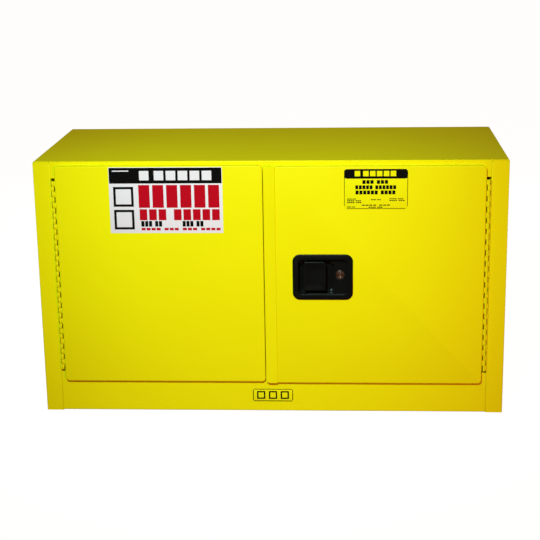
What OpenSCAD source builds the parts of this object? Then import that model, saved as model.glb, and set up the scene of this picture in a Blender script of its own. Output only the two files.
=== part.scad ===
// Flammable liquids storage cabinet: a low two-door safety cabinet that stacks on another one.
// Welded double-wall sheet steel with an air space, full-length piano hinges, and a recessed
// paddle handle that draws two rods and a centre bolt. X is to the right, +Y is to the back.
// The origin is on the floor, at the centre of the shell's footprint.

/* [Shell] */
// Overall width of the shell
cabinet_w = 1092.2; // [1080:0.1:1110]
// Overall depth of the shell, without the doors
cabinet_d = 457.2; // [440:0.1:500]
// Overall height
cabinet_h = 609.6; // [608:0.1:612]
// Thickness of the sheet steel
sheet = 1.2; // [1:0.1:1.3]
// Air space between the outer and the inner walls
air_gap = 38.1; // [37.5:0.1:38.5]
// Outside radius of the visible bends
bend_r = 2.5; // [2:0.1:3]
// Height of the door sill above the floor
sill_z = 99.6; // [99:0.1:100]
// Height of the sump's floor, 50 mm below the sill
sump_z = 48; // [44:0.5:52]
// How far the frame's jamb, header and sill run back from the front face
frame_depth = 32; // [31:0.5:34]

/* [Doors] */
// How far the doors' skins stand in front of the shell
door_proud = 10; // [9.5:0.1:10.5]
// Lower edge of the left door's skin
door_z0 = 78; // [77:0.5:79]
// Upper edge of the left door's skin
door_z1 = 600; // [599:0.5:601]
// How much lower the right door hangs
door_drop = 2.5; // [2:0.1:3]
// Distance from the middle of the cabinet to the doors' hinge edges
door_edge_x = 494.2; // [494:0.1:494.4]
// Free edge of the left door, left of the middle
left_free_x = -14.5; // [-15:0.1:-14.3]
// Half width of the right door's overlapping lip
lip_half = 13; // [12.5:0.1:13]
// How far the lip is joggled forward
lip_step = 1.5; // [1.4:0.1:1.6]
// Corner radius of the door skins
door_corner_r = 9; // [6:0.5:10]
// How far the doors' inner trays reach behind the shell's front face
tray_depth = 30; // [29:0.5:30.5]

/* [Hinges] */
// Outside radius of the knuckles
knuckle_r = 3; // [2.9:0.1:3.1]
// Radius of the hinge pins
pin_r = 1.6; // [1.4:0.1:1.7]
// Distance from the middle of the cabinet to the hinge axes
hinge_x = 500; // [499.9:0.1:500.1]
// How far the hinge axes stand in front of the shell
hinge_proud = 5.6; // [5.5:0.1:5.8]
// Length of one knuckle, with its gap
knuckle_pitch = 12.75; // [12.7:0.05:12.75]
// Knuckles in one hinge
knuckles = 36; // [34:2:36]

/* [Handle] */
// Middle of the handle, right of the cabinet's middle
handle_x = 122.3; // [122:0.1:122.6]
// Height of the handle's middle
handle_z = 336.7; // [336:0.1:337]
// Width of the handle's bezel
bezel_w = 140; // [138:1:144]
// Height of the handle's bezel
bezel_h = 109; // [107:1:112]
// Turn of the paddle when it is pulled
paddle_turn = 35; // [34:0.5:35]
// Turn of the cam that the paddle drives
cam_turn = 30; // [29:0.5:30]

/* [Inside] */
// Height of the shelf hangers' ledges
ledge_z = 300; // [299:0.5:301]
// Depth of the shelf
shelf_d = 350; // [300:5:352]
// Height of the shelf's front edge
shelf_front = 30; // [26:1:34]
// Height of the shelf's back edge, lower than its front so that spills run back
shelf_back = 22; // [18:1:25]

/* [Hidden] */
$fn = 48;
YELLOW = "#f2d500";
BLACK = "#151515";
STEEL = "#b9bcc0";
ZINC = "#a9adb0";
half_w = cabinet_w / 2;
front = -cabinet_d / 2;
back = cabinet_d / 2;
wall_x = half_w - sheet - air_gap;
ceiling_z = cabinet_h - sheet - air_gap;
inner_back_y = back - sheet - air_gap;
frame_back = front + frame_depth;
opening_x = wall_x - sheet;
opening_top = ceiling_z - sheet;
skin_front = front - door_proud;
rim_back = front - 1;
tray_back = front + tray_depth;
tray_z0 = 110;
tray_z1 = 562;
top_inset = 3;
weld_gap = 0.1;
hinge_y = front - hinge_proud;
hinge_z0 = 106;
leaf_t = 1.2;
knuckle_gap = 0.3;
leaf_back = front + 27;
bore_play = 0.06;

// Latch layers, from the skin inwards, and the cam's reach to each thing that it moves
rod_y = skin_front + 31;
bar_t = 3;
cam_y = rod_y - bar_t - 0.5;
cam_x = 98.4;
cam_z = 314;
rod_reach = 25;
bolt_reach = 23.2;
arm_reach = 38.5;
cam_pin_r = 2.5;
half_turn = cam_turn / 2;
arm_z = cam_z + arm_reach * cos(half_turn);
top_rod_x = cam_x + rod_reach * (1 + cos(half_turn)) / 2;
bottom_rod_x = cam_x - rod_reach * (1 + cos(half_turn)) / 2;
bolt_z = cam_z + bolt_reach * (1 + cos(half_turn)) / 2;
rod_r = 4;
bullet_r = 6;
strike_t = 1.2;
tip_gap = 1;
bolt_tip_x = -13;

// ---------- shared shapes ----------

// Rectangle with round corners
module round_rect(w, h, r) {
    square([w - 2 * r, h], center = true);
    square([w, h - 2 * r], center = true);
    for (x = [-1, 1], y = [-1, 1])
        translate([x * (w / 2 - r), y * (h / 2 - r)]) circle(r);
}

// Block from its lowest to its highest corner
module block(low, high) {
    translate(low) cube(high - low);
}

// A plan outline in X and Z, extruded from y0 back to y1
module upright(y0, y1) {
    translate([0, y1, 0]) rotate([90, 0, 0]) linear_extrude(y1 - y0) children();
}

// Cylinder along Y
module rod_along_y(x, z, r, y0, y1) {
    translate([x, y0, z]) rotate([-90, 0, 0]) cylinder(h = y1 - y0, r = r);
}

// Cylinder along X
module rod_along_x(y, z, r, x0, x1) {
    translate([x0, y, z]) rotate([0, 90, 0]) cylinder(h = x1 - x0, r = r);
}

// Quarter ring of a sheet's bend; sx and sy point from its centre to its outside
module elbow(sx, sy) {
    intersection() {
        difference() {
            circle(bend_r);
            circle(bend_r - sheet);
        }
        translate([sx > 0 ? 0 : -bend_r, sy > 0 ? 0 : -bend_r]) square(bend_r);
    }
}

// ---------- outer shell ----------

// Right side: jamb, stile and side in one bent sheet, with a flange under the top
module side_sheet() {
    stile_top = cabinet_h - bend_r - 0.2;
    fold_z = cabinet_h - sheet - bend_r;
    linear_extrude(fold_z) {
        translate([half_w - bend_r, front + bend_r]) elbow(1, -1);
        translate([opening_x + bend_r, front + bend_r]) elbow(-1, -1);
        translate([opening_x, front + bend_r]) square([sheet, frame_depth - bend_r]);
        translate([opening_x + bend_r, front]) square([half_w - opening_x - 2 * bend_r, sheet]);
        translate([half_w - sheet, front + bend_r]) square([sheet, cabinet_d - bend_r]);
    }
    block([opening_x + bend_r, front, fold_z], [half_w - bend_r, front + sheet, stile_top]);
    translate([0, back, 0]) rotate([90, 0, 0]) linear_extrude(cabinet_d - top_inset) {
        translate([half_w - bend_r, fold_z]) elbow(1, 1);
        translate([half_w - 22, cabinet_h - 2 * sheet]) square([22 - bend_r, sheet]);
    }
}

// Round hole for a vent, with its own position
module vent_hole(y, z) {
    rod_along_x(y, z, vent_tube_r + 0.1, wall_x - 10, half_w + 10);
}

module outer_left_side() {
    color(YELLOW) difference() {
        mirror([1, 0, 0]) side_sheet();
        mirror([1, 0, 0]) vent_hole(vent_y, left_vent_z);
    }
}

module outer_right_side() {
    color(YELLOW) difference() {
        side_sheet();
        vent_hole(vent_y, right_vent_z);
        rod_along_x(ground_y, ground_z, ground_r + 0.7, half_w - 5, half_w + 5);
    }
}

// Holes in the frame behind a strike plate: one for the rod's end and two for screws
module strike_holes() {
    cylinder(h = 4, r = strike_hole_r + 0.5);
    for (x = [-18, 18]) translate([x, 0, 0]) cylinder(h = 4, r = 2.1);
}

// Top sheet, bent down to the header and back under the air space
module outer_top() {
    top_x = half_w - top_inset;
    header_x = opening_x - weld_gap;
    color(YELLOW) difference() {
        union() {
            block([-top_x, front + bend_r, cabinet_h - sheet], [top_x, back, cabinet_h]);
            translate([-top_x, front + bend_r, cabinet_h - bend_r]) rotate([90, 0, 90])
                linear_extrude(2 * top_x) elbow(-1, 1);
            block([-header_x, front, opening_top + bend_r], [header_x, front + sheet, cabinet_h - bend_r]);
            translate([-header_x, front + bend_r, opening_top + bend_r]) rotate([90, 0, 90])
                linear_extrude(2 * header_x) elbow(-1, -1);
            block([-header_x, front + bend_r, opening_top], [header_x, frame_back, ceiling_z]);
        }
        translate([top_rod_x, rod_y, opening_top - 1]) strike_holes();
    }
}

module outer_bottom() {
    x = half_w - sheet - weld_gap;
    color(YELLOW) block([-x, frame_back + weld_gap, 0], [x, back - sheet - weld_gap, sheet]);
}

// Back sheet with two upright welding flanges
module outer_back() {
    x = half_w - sheet - weld_gap;
    z1 = cabinet_h - 2 * sheet - weld_gap;
    color(YELLOW) {
        difference() {
            block([-x, back - sheet, 0], [x, back, z1]);
            for (s = [-1, 1]) translate([s * half_w, back, cabinet_h])
                cube([2 * (bend_r + weld_gap), 10, 2 * (sheet + bend_r + weld_gap)], center = true);
        }
        for (s = [-1, 1])
            translate([s > 0 ? x - sheet : -x, back - 16, sheet + weld_gap])
                cube([sheet, 16 - sheet, z1 - 30]);
    }
}

// Panel under the doors, bent back at its top to the sill and at its foot
module bottom_rail() {
    x = opening_x - weld_gap;
    foot = 1;
    color(YELLOW) difference() {
        union() {
            block([-x, front, foot + bend_r], [x, front + sheet, sill_z - bend_r]);
            for (top = [0, 1])
                translate([-x, front + bend_r, top ? sill_z - bend_r : foot + bend_r])
                    rotate([90, 0, 90]) linear_extrude(2 * x) elbow(-1, top ? 1 : -1);
            block([-x, front + bend_r, sill_z - sheet], [x, frame_back, sill_z]);
            block([-x, front + bend_r, foot], [x, frame_back, foot + sheet]);
        }
        translate([bottom_rod_x, rod_y, sill_z - 3]) strike_holes();
    }
}

// ---------- inner shell ----------
slot_pitch = 57.15;
slot_z0 = 160;
slot_count = 7;
hanger_y = [-130, 70];
hook_z = slot_z0 + 3 * slot_pitch;

// Right inner wall with two ladders of slots for the shelf hangers
module inner_wall() {
    difference() {
        block([opening_x, frame_back + weld_gap, sump_z - sheet],
              [wall_x, inner_back_y - sheet, ceiling_z]);
        for (y = hanger_y, k = [0 : slot_count - 1])
            block([opening_x - 1, y - 11, slot_z0 + k * slot_pitch - 2.5],
                  [wall_x + 1, y + 11, slot_z0 + k * slot_pitch + 2.5]);
    }
}

module inner_left_side() {
    color(YELLOW) mirror([1, 0, 0]) difference() {
        inner_wall();
        vent_hole(vent_y, left_vent_z);
    }
}

module inner_right_side() {
    color(YELLOW) difference() {
        inner_wall();
        vent_hole(vent_y, right_vent_z);
    }
}

module inner_top() {
    x = opening_x - weld_gap;
    color(YELLOW)
        block([-x, frame_back + weld_gap, opening_top], [x, inner_back_y - sheet - weld_gap, ceiling_z]);
}

module inner_back() {
    color(YELLOW)
        block([-wall_x, inner_back_y - sheet, sump_z - sheet], [wall_x, inner_back_y, ceiling_z]);
}

// Liquid-tight tray below the sill
module sump_pan() {
    x = opening_x - weld_gap;
    y0 = frame_back + weld_gap;
    y1 = inner_back_y - sheet - weld_gap;
    color(YELLOW) difference() {
        block([-x, y0, sump_z - sheet], [x, y1, sill_z]);
        block([-x + sheet, y0 + sheet, sump_z], [x - sheet, y1 - sheet, sill_z + 1]);
    }
}

// ---------- shelf ----------
shelf_x = 496;
shelf_y0 = -175;

// Shelf with skirts: level below, its deck sloping to the back
module shelf() {
    deck = [[shelf_y0, ledge_z], [shelf_y0 + shelf_d, ledge_z],
            [shelf_y0 + shelf_d, ledge_z + shelf_back], [shelf_y0, ledge_z + shelf_front]];
    under = [[shelf_y0 + sheet, ledge_z - 1], [shelf_y0 + shelf_d - sheet, ledge_z - 1],
             [shelf_y0 + shelf_d - sheet, ledge_z + shelf_back - sheet],
             [shelf_y0 + sheet, ledge_z + shelf_front - sheet]];
    color(ZINC) difference() {
        translate([-shelf_x, 0, 0]) rotate([90, 0, 90]) linear_extrude(2 * shelf_x) polygon(deck);
        translate([-shelf_x + sheet, 0, 0]) rotate([90, 0, 90])
            linear_extrude(2 * (shelf_x - sheet)) polygon(under);
    }
}

// One clip: a plate on the wall, a tongue through a slot and a ledge for the shelf
module hanger() {
    face = opening_x - weld_gap;
    plate_t = 2;
    block([face - plate_t, -12, ledge_z - plate_t], [face, 12, hook_z + 8]);
    block([480, -12, ledge_z - plate_t], [face - plate_t, 12, ledge_z]);
    block([face, -9, hook_z - 1], [wall_x + 1.6, 9, hook_z + 1]);
    block([wall_x + 0.2, -9, hook_z - 11], [wall_x + 1.6, 9, hook_z - 1]);
}

module shelf_hangers() {
    color(ZINC) for (y = hanger_y, s = [0, 1])
        mirror([s, 0, 0]) translate([0, y, 0]) hanger();
}

// ---------- vents ----------
vent_y = 140;
left_vent_z = 152;
right_vent_z = 500;
vent_tube_r = 31;
vent_bore_r = 28.6;
vent_flange_r = 40;
vent_neck = 9;

// Flanged tube through both walls, on the right
module vent_collar(z) {
    difference() {
        union() {
            rod_along_x(vent_y, z, vent_tube_r, opening_x - 1.6, half_w + vent_neck);
            rod_along_x(vent_y, z, vent_flange_r, half_w + 0.05, half_w + 3);
            rod_along_x(vent_y, z, vent_flange_r - 4, opening_x - 1.6, opening_x - 0.1);
        }
        rod_along_x(vent_y, z, vent_bore_r, opening_x - 5, half_w + vent_neck + 5);
    }
}

// Threaded plug with a rim and a square drive recess
module vent_plug(z) {
    mouth = half_w + vent_neck;
    difference() {
        union() {
            rod_along_x(vent_y, z, vent_bore_r - 0.15, mouth - 14, mouth + 1);
            rod_along_x(vent_y, z, vent_tube_r + 1, mouth + 0.2, mouth + 3.5);
        }
        rod_along_x(vent_y, z, 20, mouth - 9, mouth + 5);
    }
    difference() {
        rod_along_x(vent_y, z, 12, mouth - 9.5, mouth + 2);
        block([mouth - 7, vent_y - 6.5, z - 6.5], [mouth + 5, vent_y + 6.5, z + 6.5]);
    }
}

// Perforated disc that stops a flame, inside the tube
module flame_arrester(z) {
    x0 = opening_x + 4;
    difference() {
        rod_along_x(vent_y, z, vent_bore_r - 0.1, x0, x0 + 3);
        for (ring = [1 : 3], k = [0 : ring * 6 - 1]) {
            turn = k * 60 / ring;
            rod_along_x(vent_y + ring * 7 * cos(turn), z + ring * 7 * sin(turn), 2.4, x0 - 1, x0 + 4);
        }
    }
}

module left_vent_collar() { color(STEEL) mirror([1, 0, 0]) vent_collar(left_vent_z); }
module right_vent_collar() { color(STEEL) vent_collar(right_vent_z); }
module left_vent_plug() { color(YELLOW) mirror([1, 0, 0]) vent_plug(left_vent_z); }
module right_vent_plug() { color(YELLOW) vent_plug(right_vent_z); }
module left_flame_arrester() { color(STEEL) mirror([1, 0, 0]) flame_arrester(left_vent_z); }
module right_flame_arrester() { color(STEEL) flame_arrester(right_vent_z); }

// ---------- earthing ----------
ground_y = 170;
ground_z = 60;
ground_r = 4;
ground_nut_t = 6.5;

module ground_stud() {
    color(STEEL) {
        rod_along_x(ground_y, ground_z, ground_r + 0.5, half_w - 4, half_w + 8.1);
        rod_along_x(ground_y, ground_z, ground_r, half_w + 8.1, half_w + 22);
        translate([half_w - 6.2, ground_y, ground_z]) rotate([0, 90, 0]) cylinder(h = 5, r = 7.5, $fn = 6);
    }
}

module ground_nut() {
    color(STEEL) difference() {
        union() {
            translate([half_w + 1.6, ground_y, ground_z]) rotate([0, 90, 0])
                cylinder(h = ground_nut_t, r = 7.5, $fn = 6);
            rod_along_x(ground_y, ground_z, 8.5, half_w + 0.05, half_w + 1.6);
        }
        rod_along_x(ground_y, ground_z, ground_r + 0.55, half_w - 1, half_w + 12);
    }
}

// ---------- hinges ----------

// Leaf and knuckles on the right side; first is 0 for the frame's leaf and 1 for the door's
module hinge_leaf(first) {
    on_door = first == 1;
    leaf_x = on_door ? door_edge_x + 0.1 : opening_x - leaf_t - 0.05;
    difference() {
        union() {
            block([leaf_x, hinge_y + 1, hinge_z0],
                  [leaf_x + leaf_t, leaf_back, hinge_z0 + knuckles * knuckle_pitch]);
            for (k = [first : 2 : knuckles - 1]) {
                z0 = hinge_z0 + k * knuckle_pitch + knuckle_gap / 2;
                z1 = z0 + knuckle_pitch - knuckle_gap;
                translate([hinge_x, hinge_y, z0]) cylinder(h = z1 - z0, r = knuckle_r);
                block([on_door ? leaf_x : hinge_x, hinge_y + 1, z0],
                      [on_door ? hinge_x : leaf_x + leaf_t, hinge_y + 2.2, z1]);
            }
        }
        translate([hinge_x, hinge_y, hinge_z0 - 1])
            cylinder(h = knuckles * knuckle_pitch + 2, r = pin_r + bore_play);
    }
}

module hinge_pin() {
    translate([hinge_x, hinge_y, hinge_z0]) cylinder(h = knuckles * knuckle_pitch, r = pin_r);
}

module left_frame_hinge_leaf() { color(YELLOW) mirror([1, 0, 0]) hinge_leaf(0); }
module right_frame_hinge_leaf() { color(YELLOW) hinge_leaf(0); }
module left_door_hinge_leaf() { color(YELLOW) mirror([1, 0, 0]) hinge_leaf(1); }
module right_door_hinge_leaf() { color(YELLOW) hinge_leaf(1); }
module left_hinge_pin() { color(STEEL) mirror([1, 0, 0]) hinge_pin(); }
module right_hinge_pin() { color(STEEL) hinge_pin(); }

// ---------- doors ----------

// Outline of a skin in X and Z
module skin_outline(x0, x1, drop, inset) {
    translate([(x0 + x1) / 2, (door_z0 + door_z1) / 2 - drop])
        round_rect(x1 - x0 - 2 * inset, door_z1 - door_z0 - 2 * inset, door_corner_r - inset);
}

module left_door_skin() {
    color(YELLOW) difference() {
        upright(skin_front, rim_back) skin_outline(-door_edge_x, left_free_x, 0, 0);
        upright(skin_front + sheet, rim_back + 1) skin_outline(-door_edge_x, left_free_x, 0, sheet);
    }
}

// Skin with a lip that is joggled forward over the gap between the doors
module right_door_skin() {
    z0 = door_z0 - door_drop;
    z1 = door_z1 - door_drop;
    step_x = lip_half + lip_step;
    lip_front = skin_front - lip_step;
    joggle = [[step_x, skin_front], [lip_half, lip_front],
              [lip_half, lip_front + sheet], [step_x, skin_front + sheet]];
    color(YELLOW) difference() {
        union() {
            difference() {
                upright(skin_front, rim_back)
                    skin_outline(step_x - door_corner_r, door_edge_x, door_drop, 0);
                upright(skin_front + sheet, rim_back + 1)
                    skin_outline(step_x - door_corner_r, door_edge_x, door_drop, sheet);
                block([-20, skin_front - 1, z0 - 1], [step_x, rim_back + 2, z1 + 1]);
            }
            translate([0, 0, z0]) linear_extrude(z1 - z0) polygon(joggle);
            intersection() {
                upright(skin_front - lip_step, skin_front - lip_step + sheet)
                    skin_outline(-lip_half, 60, door_drop, 0);
                block([-lip_half, skin_front - 5, z0], [lip_half, skin_front + 5, z1]);
            }
        }
        upright(skin_front - 5, skin_front + 5)
            translate([handle_x, handle_z]) round_rect(cup_w + 1, cup_h + 1, 12);
    }
}

// Brim that closes the overlay, and the tray that fits the opening
module door_liner(x0, x1, brim_x0, brim_x1, drop) {
    z0 = tray_z0 - drop;
    z1 = tray_z1 - drop;
    brim_z0 = door_z0 - drop + sheet + weld_gap;
    brim_z1 = door_z1 - drop - sheet - weld_gap;
    difference() {
        union() {
            block([brim_x0, rim_back - sheet, brim_z0], [brim_x1, rim_back, brim_z1]);
            block([x0, rim_back, z0], [x1, tray_back, z1]);
        }
        block([x0 + sheet, rim_back - sheet - 1, z0 + sheet], [x1 - sheet, tray_back - sheet, z1 - sheet]);
        for (x = [brim_x0, brim_x1], z = [brim_z0, brim_z1])
            translate([x, rim_back - sheet - 1, z]) rotate([-90, 45, 0])
                translate([-5, -5, 0]) cube([10, 10, sheet + 1]);
    }
}

left_tray_x = left_free_x - 2.5;
right_tray_x = 3;

module left_door_liner() {
    brim_x = door_edge_x - sheet - weld_gap;
    color(YELLOW) difference() {
        door_liner(-door_edge_x, left_tray_x, -brim_x, left_free_x - sheet - weld_gap, 0);
        block([left_tray_x - 5, rod_y - 6, bolt_z - 9], [left_tray_x + 1, rod_y + 6, bolt_z + 9]);
    }
}

module right_door_liner() {
    brim_x = door_edge_x - sheet - weld_gap;
    color(YELLOW) difference() {
        union() {
            door_liner(right_tray_x, door_edge_x, right_tray_x, brim_x, door_drop);
            block([right_tray_x, skin_front - lip_step + sheet + 0.1, door_z0 - door_drop + 12],
                  [right_tray_x + sheet, rim_back, door_z1 - door_drop - 12]);
        }
        translate([top_rod_x, rod_y, tray_z1 - 10]) cylinder(h = 20, r = bullet_r + 0.5);
        translate([bottom_rod_x, rod_y, tray_z0 - 10]) cylinder(h = 20, r = bullet_r + 0.5);
        block([right_tray_x - 1, rod_y - 4.6, bolt_z - 7.6], [right_tray_x + 5, rod_y + 4.6, bolt_z + 7.6]);
        upright(tray_back - 5, tray_back + 1)
            translate([handle_x - 12, handle_z - 8]) round_rect(130, 130, 8);
    }
}

// Plate that covers the latch from inside the door
module access_cover() {
    color(YELLOW) upright(tray_back + 0.05, tray_back + 1.25) difference() {
        translate([handle_x - 12, handle_z - 8]) round_rect(154, 154, 10);
        for (x = [-70, 70], z = [-70, 70])
            translate([handle_x - 12 + x, handle_z - 8 + z]) circle(2.2);
    }
}

module left_door_strike() {
    x0 = left_tray_x + 0.05;
    color(STEEL) difference() {
        block([x0, tray_back - 22, bolt_z - 24], [x0 + 1.5, tray_back - 1, bolt_z + 24]);
        block([x0 - 1, rod_y - 5, bolt_z - 8], [x0 + 3, rod_y + 5, bolt_z + 8]);
    }
}

// ---------- labels ----------
label_t = 0.3;

module door_label(x0, x1, z0, z1, face_y, r) {
    upright(face_y - label_t, face_y - 0.02)
        translate([(x0 + x1) / 2, (z0 + z1) / 2]) round_rect(x1 - x0, z1 - z0, r);
}

module warning_label() { color("white") door_label(-368.5, -106.5, 442.5, 597.5, skin_front, 1); }
module name_label() { color(YELLOW) door_label(171, 317.5, 498, 592, skin_front, 7); }
module rail_label() { color(YELLOW) door_label(-47, 50.5, 24.5, 57.5, front, 4); }

// ---------- handle ----------
bezel_proud = 3;
cup_w = 117;
cup_h = 86;
pocket_floor = skin_front + 22;
platform_y = skin_front + 6;
wall_t = 2;
paddle_x = 82;
paddle_y = skin_front + 3;
paddle_h = 70;
paddle_z = handle_z + 1.3;
paddle_w = 52;
paddle_pin_r = 2;
// Long enough for the arm's end to bear on the cam when the paddle is fully pulled
arm_len = (cam_y + 1.9 - paddle_y + 2.5 * sin(paddle_turn)) / cos(paddle_turn);
lock_x = 162.5;
lock_z = handle_z + 3.8;
lock_r = 9.3;
deep_x0 = handle_x - cup_w / 2 + wall_t;
deep_x1 = 148;
deep_z0 = handle_z - cup_h / 2 + wall_t;
deep_z1 = handle_z + 38;
chamfer = 12;

// The finger pocket's outline, with its upper right corner cut off
module pocket_outline(grow) {
    polygon([[deep_x0 - grow, deep_z0 - grow], [deep_x1 + grow, deep_z0 - grow],
             [deep_x1 + grow, deep_z1 - chamfer + grow / 2], [deep_x1 - chamfer + grow / 2, deep_z1 + grow],
             [deep_x0 - grow, deep_z1 + grow]]);
}

// Cast cup: bezel, shallow tray, finger pocket, and bores for the paddle's pin and the lock
module handle_cup() {
    color(BLACK) difference() {
        union() {
            upright(skin_front - bezel_proud, skin_front - 0.05)
                translate([handle_x, handle_z]) round_rect(bezel_w, bezel_h, 17);
            upright(skin_front - 0.05, platform_y + wall_t)
                translate([handle_x, handle_z]) round_rect(cup_w, cup_h, 12);
            upright(platform_y, pocket_floor + wall_t) pocket_outline(wall_t);
        }
        upright(skin_front - bezel_proud - 1, platform_y)
            translate([handle_x, handle_z]) round_rect(cup_w - 2 * wall_t, cup_h - 2 * wall_t, 10);
        upright(platform_y - 1, pocket_floor) pocket_outline(0);
        block([paddle_x - 4, pocket_floor - 1, arm_z - 7], [paddle_x + 24, pocket_floor + 5, arm_z + 7]);
        rod_along_y(lock_x, lock_z, lock_r + 0.1, platform_y - 1, platform_y + 10);
        for (p = screw_spots) rod_along_y(p[0], p[1], 2.05, pocket_floor - 1, pocket_floor + 5);
        translate([paddle_x, paddle_y, handle_z - cup_h / 2 - 1])
            cylinder(h = cup_h + 2, r = paddle_pin_r + bore_play);
    }
}

// Paddle: slightly dished plate, barrel on the pin, and an arm that reaches the cam
module paddle() {
    barrel_r = 4;
    plate_t = 3.5;
    color(BLACK) difference() {
        union() {
            translate([paddle_x, paddle_y, paddle_z - paddle_h / 2]) cylinder(h = paddle_h, r = barrel_r);
            upright(paddle_y - barrel_r, paddle_y - barrel_r + plate_t)
                translate([paddle_x + paddle_w / 2 - 4, paddle_z]) round_rect(paddle_w, paddle_h, 3.9);
            block([paddle_x + paddle_w - 8, paddle_y - barrel_r + 1, paddle_z - paddle_h / 2 + 5],
                  [paddle_x + paddle_w - 5, paddle_y + 4, paddle_z + paddle_h / 2 - 5]);
            block([paddle_x - 2.5, paddle_y, arm_z - 5], [paddle_x + 2.5, paddle_y + arm_len, arm_z + 5]);
        }
        translate([paddle_x, paddle_y, paddle_z - paddle_h / 2 - 1])
            cylinder(h = paddle_h + 2, r = paddle_pin_r + bore_play);
    }
}

module paddle_pin() {
    color(STEEL) translate([paddle_x, paddle_y, handle_z - cup_h / 2])
        cylinder(h = cup_h, r = paddle_pin_r);
}

// ---------- lock ----------
lock_back = rod_y - 1.5;

module lock_body() {
    color(STEEL) difference() {
        union() {
            rod_along_y(lock_x, lock_z, lock_r + 1.3, platform_y - 2, platform_y - 0.05);
            rod_along_y(lock_x, lock_z, lock_r, platform_y - 1, lock_back - 1);
        }
        rod_along_y(lock_x, lock_z, 6.5 + bore_play, platform_y - 5, lock_back + 1);
    }
}

module lock_nut() {
    y0 = platform_y + wall_t + 0.1;
    color(STEEL) difference() {
        translate([lock_x, y0, lock_z]) rotate([-90, 0, 0]) rotate(30) cylinder(h = 3, r = 12.3, $fn = 6);
        rod_along_y(lock_x, lock_z, lock_r + 0.1, y0 - 1, y0 + 5);
    }
}

// Rotating barrel with a key slot
module lock_plug() {
    color(STEEL) difference() {
        union() {
            rod_along_y(lock_x, lock_z, 6.5, platform_y - 1.5, lock_back);
            rod_along_y(lock_x, lock_z, 3, lock_back - 1, lock_back + 4);
        }
        block([lock_x - 0.9, platform_y - 5, lock_z - 4], [lock_x + 0.9, platform_y + 14, lock_z + 4]);
    }
}

// Tongue on the barrel's tail: up when unlocked, towards the latch when locked
module lock_tongue() {
    color(STEEL) difference() {
        upright(lock_back + 0.2, lock_back + 2.2) {
            translate([lock_x, lock_z]) circle(7);
            translate([lock_x - 5, lock_z]) square([10, 28]);
        }
        rod_along_y(lock_x, lock_z, 3.05, lock_back - 1, lock_back + 5);
    }
}

// ---------- latch ----------
plate_y = pocket_floor + wall_t;
screw_spots = [[72, 366], [142, 366], [142, 300], [88, 299]];

// Plate behind the cup that carries the cam
module latch_plate() {
    color(STEEL) upright(plate_y + 0.05, plate_y + 1.45) difference() {
        translate([(deep_x0 + deep_x1) / 2, handle_z - 5]) round_rect(deep_x1 - deep_x0 + 4, 90, 4);
        translate([cam_x, cam_z]) circle(2.55);
        translate([paddle_x - 4, arm_z - 8]) square([28, 16]);
        for (p = screw_spots) translate(p) circle(2.1);
    }
}

module latch_plate_screws() {
    color(ZINC) for (p = screw_spots) {
        rod_along_y(p[0], p[1], 2, plate_y - 1.5, plate_y + 1.6);
        rod_along_y(p[0], p[1], 3.5, plate_y + 1.5, plate_y + 3);
    }
}

module cam_pivot() {
    color(STEEL) {
        rod_along_y(cam_x, cam_z, 2.5, plate_y + 0.05, cam_y + bar_t + 1.2);
        rod_along_y(cam_x, cam_z, 4.5, cam_y + bar_t + 0.2, cam_y + bar_t + 1.4);
    }
}

// An arm of the cam, from its hub to a reach at an angle
module cam_arm(angle, reach, width, tip_r) {
    rotate(angle) translate([0, -width / 2]) square([reach, width]);
    rotate(angle) translate([reach, 0]) circle(tip_r);
}

// Bell crank: two side pins draw the rods, an upper pin draws the bolt, and the tab meets the paddle's arm
module latch_cam() {
    color(ZINC) translate([cam_x, 0, cam_z]) {
        difference() {
            upright(cam_y, cam_y + bar_t - 0.1) {
                circle(9);
                cam_arm(half_turn, rod_reach, 8, 5);
                cam_arm(180 + half_turn, rod_reach, 8, 5);
                cam_arm(90 + half_turn, arm_reach, 6, 3);
            }
            rod_along_y(0, 0, 2.5 + bore_play, cam_y - 1, cam_y + bar_t + 1);
        }
        for (p = [[half_turn, rod_reach], [180 + half_turn, rod_reach], [90 + half_turn, bolt_reach]])
            rod_along_y(p[1] * cos(p[0]), p[1] * sin(p[0]), cam_pin_r,
                        cam_y + bar_t - 0.2, cam_y + 2 * bar_t + 1);
    }
}

bar_y0 = cam_y + bar_t + 0.2;
bar_y1 = bar_y0 + bar_t;

// Head of a rod: a flat bar with a level slot that the cam's pin slides in
module yoke(x, pin_z, z_far) {
    slot = cam_pin_r + 0.15;
    near_z = pin_z + (z_far > pin_z ? -6 : 6);
    upright(bar_y0, bar_y1) difference() {
        translate([x - 7, min(near_z, z_far)]) square([14, abs(z_far - near_z)]);
        for (side = [-1, 1]) translate([x + side, pin_z]) circle(slot);
        translate([x - 1, pin_z - slot]) square([2, 2 * slot]);
    }
}

pin_drop = rod_reach * sin(half_turn);
top_bullet_z = 536;
bottom_bullet_z = 136;

module top_rod() {
    color(STEEL) {
        yoke(top_rod_x, cam_z + pin_drop, cam_z + 60);
        translate([top_rod_x, rod_y, cam_z + 50]) cylinder(h = top_bullet_z - cam_z - 50, r = rod_r);
    }
}

module bottom_rod() {
    color(STEEL) {
        yoke(bottom_rod_x, cam_z - pin_drop, cam_z - 60);
        translate([bottom_rod_x, rod_y, bottom_bullet_z])
            cylinder(h = cam_z - 50 - bottom_bullet_z, r = rod_r);
    }
}

// Round-nosed end of a rod, from its shoulder to its tip
module bullet(z_shoulder, z_tip) {
    up = z_tip > z_shoulder ? 1 : -1;
    length = abs(z_tip - z_shoulder);
    translate([0, 0, z_shoulder]) rotate([up > 0 ? 0 : 180, 0, 0]) {
        cylinder(h = length - bullet_r, r = bullet_r);
        translate([0, 0, length - bullet_r]) sphere(bullet_r);
    }
}

top_tip_z = opening_top - strike_t - tip_gap;
bottom_tip_z = sill_z + strike_t + tip_gap;

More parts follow.
